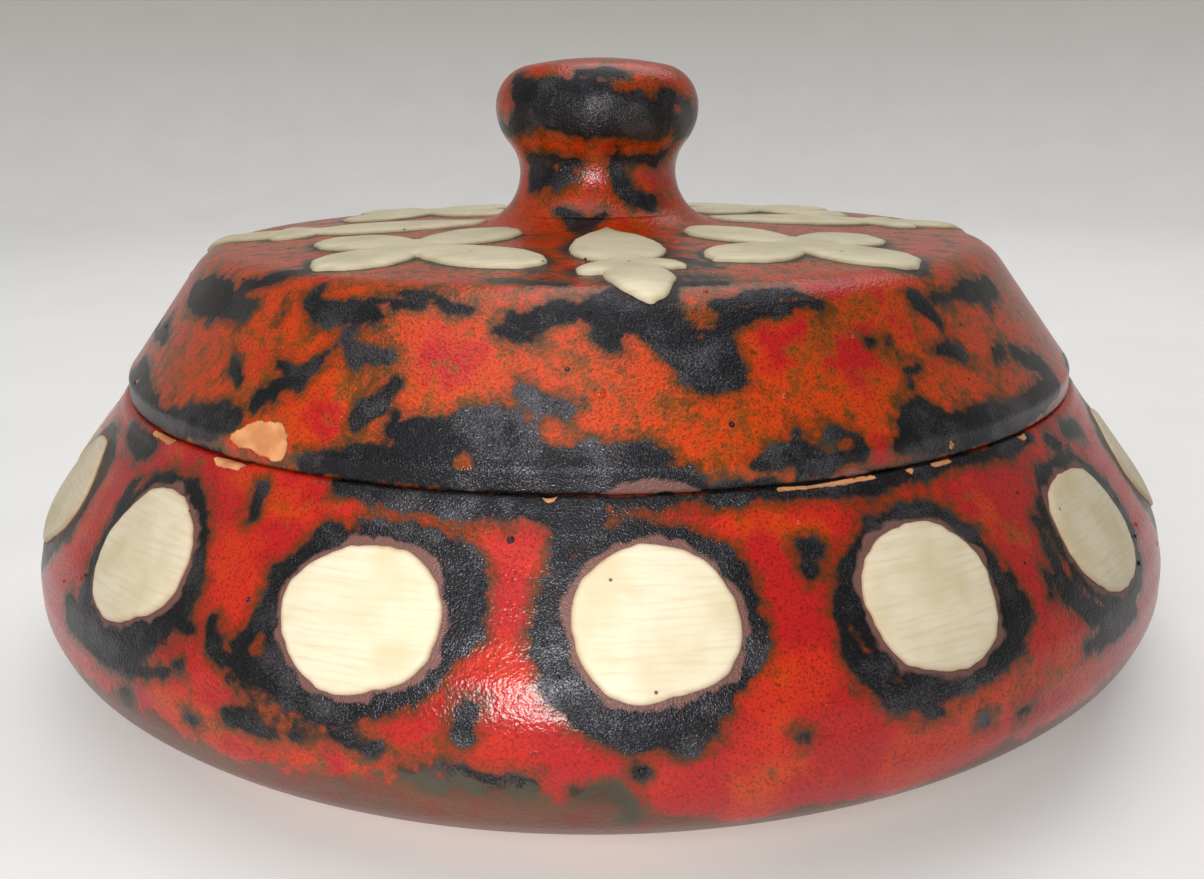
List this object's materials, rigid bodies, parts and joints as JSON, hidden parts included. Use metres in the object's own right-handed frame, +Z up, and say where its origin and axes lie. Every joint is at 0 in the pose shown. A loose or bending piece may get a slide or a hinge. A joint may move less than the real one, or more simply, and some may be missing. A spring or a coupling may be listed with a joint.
{
  "type": "lidded pot",
  "caption": "Low, wide glazed earthenware pot with a flat-topped lift-off lid, a mushroom knob and raised cream slip spots and flowers, for serving or keeping food.",
  "frame": {"origin": "on the table, under the middle of the foot", "axes": "+Z up along the turning axis, front towards -Y"},
  "size_m": [0.25, 0.25, 0.1273],
  "materials": {
    "mottled_glaze": "satin gloss, mottled red and black",
    "cream_slip": "satin, clear glazed cream slip",
    "bare_terracotta": "matt unglazed clay"
  },
  "bodies": {
    "bowl": {"bowl": "mottled_glaze", "dot_01": "cream_slip", "dot_02": "cream_slip", "dot_03": "cream_slip", "dot_04": "cream_slip", "dot_05": "cream_slip", "dot_06": "cream_slip", "dot_07": "cream_slip", "dot_08": "cream_slip", "dot_09": "cream_slip", "dot_10": "cream_slip", "dot_11": "cream_slip", "dot_12": "cream_slip", "dot_13": "cream_slip", "dot_14": "cream_slip", "dot_15": "cream_slip", "dot_16": "cream_slip"},
    "lid": {"lid": "mottled_glaze", "lid_flange": "bare_terracotta", "knob": "mottled_glaze", "flower_front_left": "cream_slip", "flower_front_right": "cream_slip", "flower_back_right": "cream_slip", "flower_back_left": "cream_slip", "bud_front": "cream_slip", "bud_right": "cream_slip", "bud_back": "cream_slip", "bud_left": "cream_slip"}
  },
  "joints": [
    {"name": "lid_lift", "type": "slide", "parent": "bowl", "child": "lid", "axis": [0, 0, 1], "range_m": [0, 0.15]}
  ]
}
